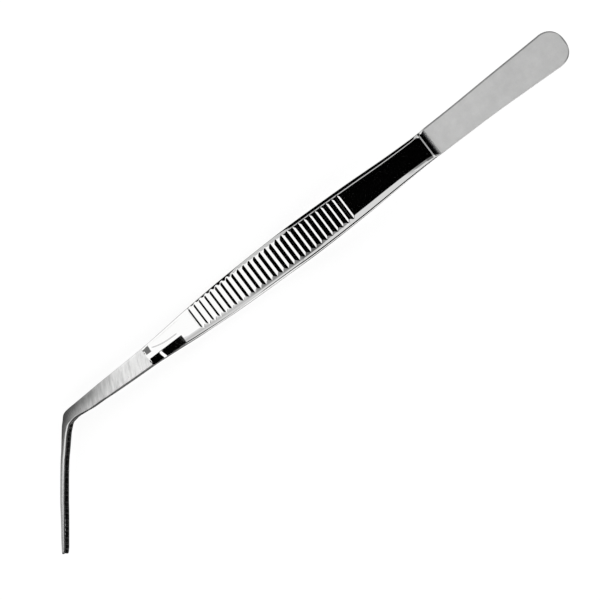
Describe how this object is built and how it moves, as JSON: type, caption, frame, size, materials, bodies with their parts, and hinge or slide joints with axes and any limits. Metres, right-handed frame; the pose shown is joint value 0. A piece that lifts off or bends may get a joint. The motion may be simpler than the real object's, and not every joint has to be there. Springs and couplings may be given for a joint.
{
  "type": "aquascaping tweezers",
  "caption": "Long slim steel tweezers with a flat satin tail, bowed spring arms, cross-ribbed grips and narrow serrated jaws bent sideways.",
  "frame": {"origin": "on the flat outer face of the lower tail leaf, on the centre line, 30 mm in front of the rounded tail end", "axes": "+X runs along the body from the tail to the jaws, +Y is the side the jaws are bent to, +Z points from the lower arm to the upper arm, square to the flat tail"},
  "size_m": [0.2556, 0.0466, 0.0218],
  "materials": {
    "satin_steel": "fine bead-blasted satin stainless steel",
    "polished_steel": "mirror-polished stainless steel at the neck and ribbed grip, cross-brushed on the blade towards the bend, satin on the jaws",
    "fused_steel": "dull fused steel between the two tail leaves"
  },
  "bodies": {
    "tail": {"upper_tail_leaf": "satin_steel", "lower_tail_leaf": "satin_steel", "rear_spot_weld": "fused_steel", "front_spot_weld": "fused_steel"},
    "upper_arm": {"upper_spring_arm": "polished_steel"},
    "lower_arm": {"lower_spring_arm": "polished_steel"}
  },
  "joints": [
    {"name": "upper_flex", "type": "hinge", "parent": "tail", "child": "upper_arm", "pos_m": [0.039, 0, 0.00269], "axis": [0, 1, 0], "range_deg": [0, 1.6], "stiffness_Nm_per_rad": 8},
    {"name": "lower_flex", "type": "hinge", "parent": "tail", "child": "lower_arm", "pos_m": [0.039, 0, -0.00025], "axis": [0, 1, 0], "range_deg": [-1.6, 0], "stiffness_Nm_per_rad": 8}
  ],
  "couplings": [
    {"joint": "lower_flex", "follows": "upper_flex", "ratio": -1}
  ]
}
